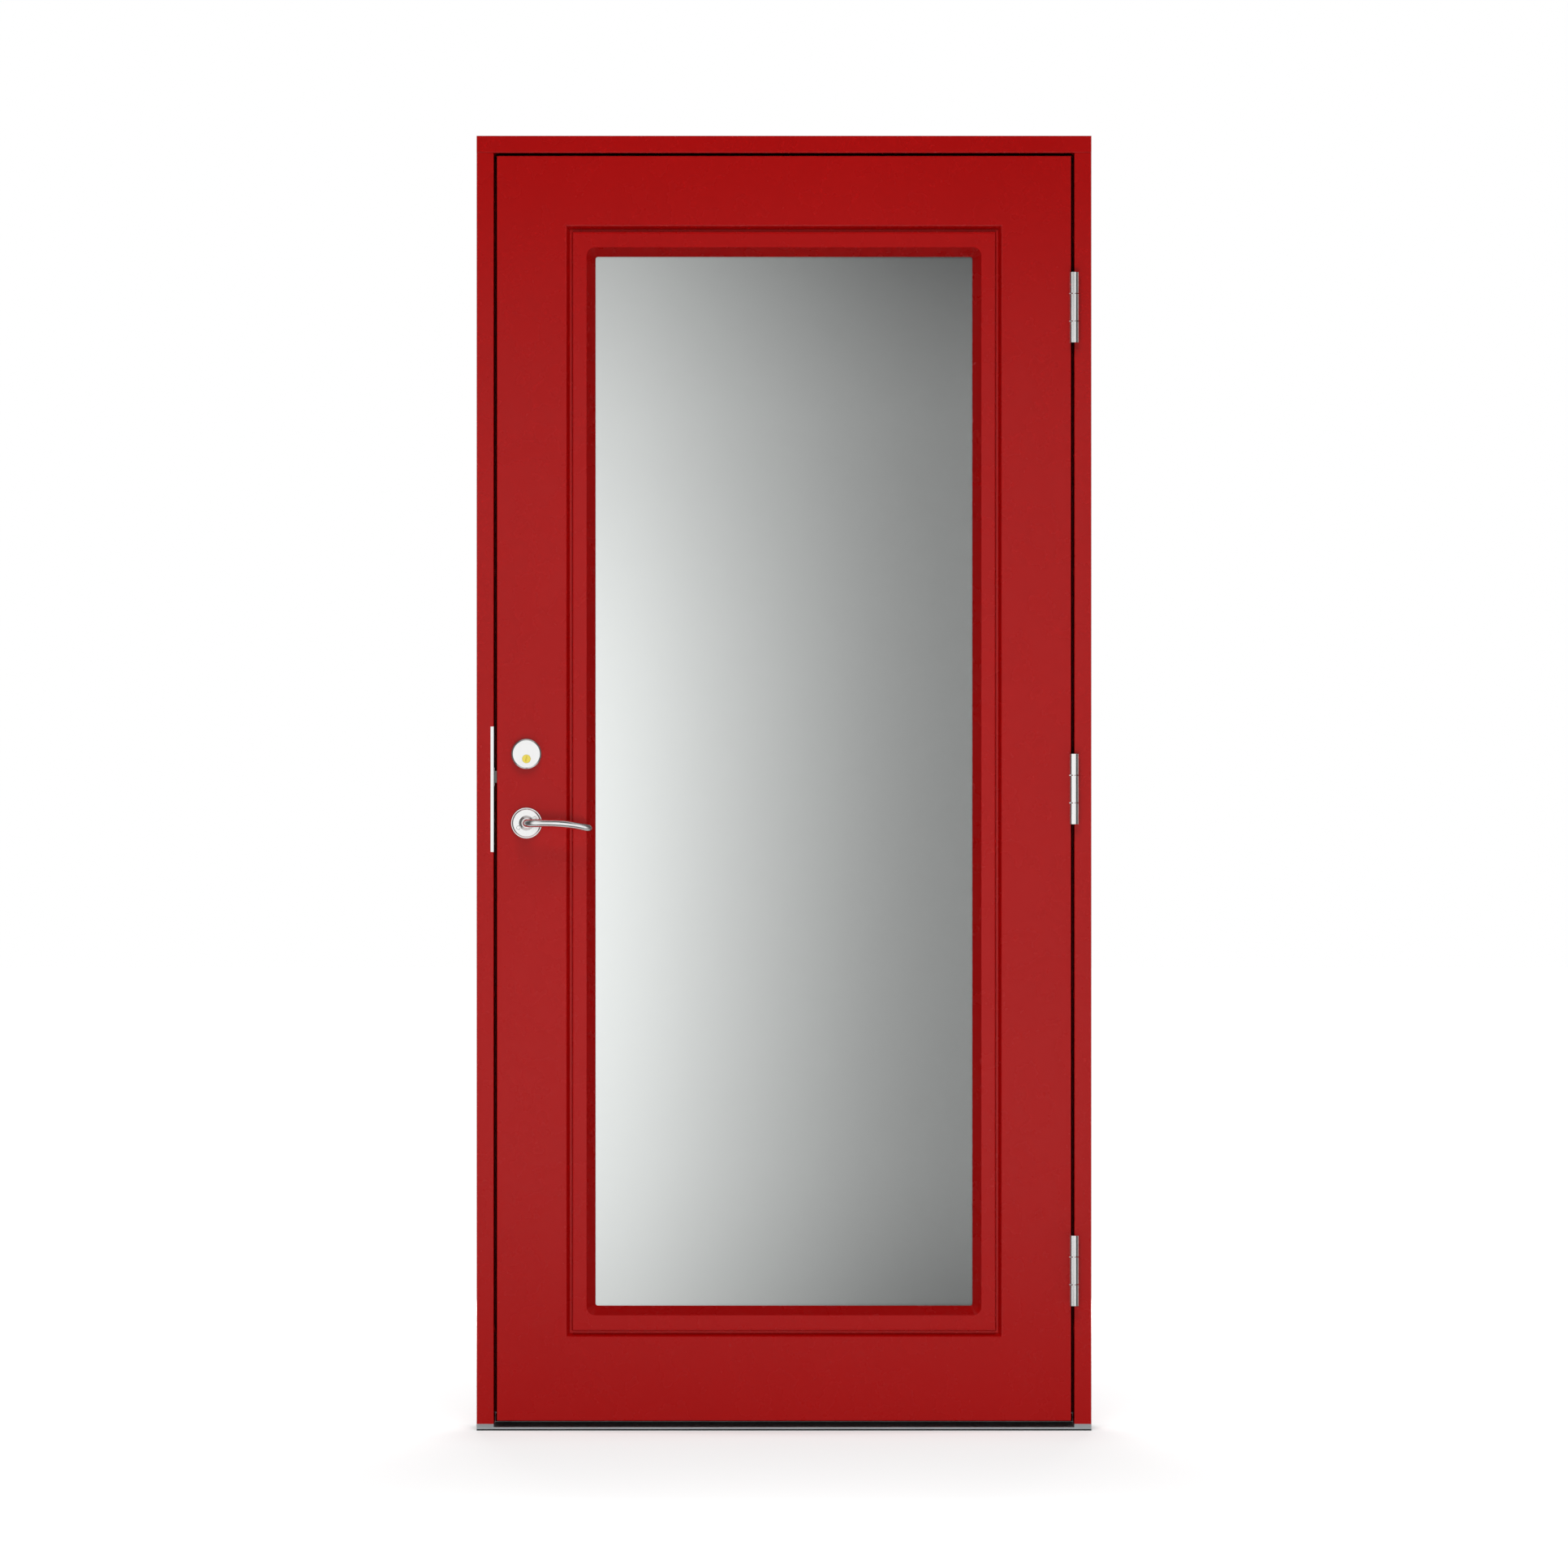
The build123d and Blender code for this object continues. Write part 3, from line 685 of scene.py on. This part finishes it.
# %% Tent of cards
wide, deep, tall = 2 * tent_half, 2 * tent_reach, tent_top - tent_low
middle_z = (tent_top + tent_low) / 2
facing_door = Matrix.Rotation(math.radians(90), 4, "X")
facing_side = Matrix.Rotation(math.radians(90), 4, "Y")
lying_flat = Matrix()
tent = (("front", outer_glow, wide, tall, (0.0, -tent_reach, middle_z), facing_door),
        ("back", inner_glow, wide, tall, (0.0, tent_reach, middle_z), facing_door),
        ("left", side_glow, tall, deep, (-tent_half, 0.0, middle_z), facing_side),
        ("right", side_glow, tall, deep, (tent_half, 0.0, middle_z), facing_side),
        ("upper", level_glow, wide, deep, (0.0, 0.0, tent_top), lying_flat),
        ("lower", level_glow, wide, deep, (0.0, 0.0, tent_low), lying_flat))
for end, glow_color, width, height, spot, turn in tent:
    tree, in_mirrors, through_glass = hang_card(f"{end}_reflection_card", width, height,
                                                Matrix.Translation(spot) @ turn)
    shaded = tree.nodes.new("ShaderNodeEmission")
    plain = add_node(tree, "ShaderNodeEmission", Color=(clear, clear, clear, 1.0))
    tree.links.new(glow_color(tree), shaded.inputs["Color"])
    tree.links.new(fresh_ray(tree, ("Diffuse Depth",)), shaded.inputs["Strength"])
    tree.links.new(shaded.outputs["Emission"], in_mirrors)
    tree.links.new(plain.outputs["Emission"], through_glass)

# %% [markdown]
# ## Behind the glass
# Behind the door hangs one more card that only shows through the glass: light on the left,
# falling to grey on the right and a little towards the top. It gives the calm silver-grey
# panel of the picture without painting anything on the glass itself. Beside the door and at its
# foot it goes over into the plain grey of the tent, so that other views show no border.

# %% Ramps behind the glass
glass_low, glass_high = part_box("outer_pane")
half = (glass_high.x - glass_low.x) / 2
behind_across = ((-half * 3, 1.00), (-half * 1.6, 1.00), (-half, 0.95), (-half * 0.5, 0.63),
                 (0.0, 0.40), (half * 0.5, 0.20), (half, 0.09), (half * 1.6, 0.09),
                 (half * 3, 0.09))
behind_upwards = ((0.0, 0.73), (0.25, 0.82), (0.6, 0.97), (1.0, 0.99), (1.3, 0.94), (1.6, 0.71),
                  (1.9, 0.57), (2.2, 0.51))
behind_sides = ((-half * 7, clear), (-half * 6, clear), (-half * 4, 0.4), (-half * 2.5, 0.0),
                (half * 2.5, 0.0), (half * 4, 0.4), (half * 6, clear), (half * 7, clear))
behind_foot = ((-0.5, clear), (-0.4, clear), (-0.25, 0.45), (0.05, 0.0), (0.15, 0.0))


def silver_glow(tree):
    """The silver-grey ramp behind the glass, which goes over into the plain grey at its edges."""
    silver = join_ramps(tree, "MULTIPLY", gradient(tree, "X", behind_across),
                        gradient(tree, "Z", behind_upwards))
    edges = join_ramps(tree, "MAXIMUM", gradient(tree, "X", behind_sides),
                       gradient(tree, "Z", behind_foot))
    return join_ramps(tree, "MAXIMUM", silver, edges)


print("glass", round(2 * half, 4), "wide")

# %% [markdown]
# Mirrors have to look past this card at the tent, so for them it is transparent. Only a mirror
# ray that has gone through the glass finds it black: that keeps the slopes round the glass deep
# red.

# %% Card behind the glass
back_distance = 0.9
back_width, back_height = 12.0, 5.0
back_place = Matrix.Translation((0.0, back_distance, camera_height)) @ facing_door
tree, in_mirrors, through_glass = hang_card("back_card", back_width, back_height, back_place)
silver = tree.nodes.new("ShaderNodeEmission")
gap = tree.nodes.new("ShaderNodeBsdfTransparent")
tree.links.new(silver_glow(tree), silver.inputs["Color"])
tree.links.new(fresh_ray(tree, ("Transmission Depth",)), gap.inputs["Color"])
tree.links.new(gap.outputs["BSDF"], in_mirrors)
tree.links.new(silver.outputs["Emission"], through_glass)
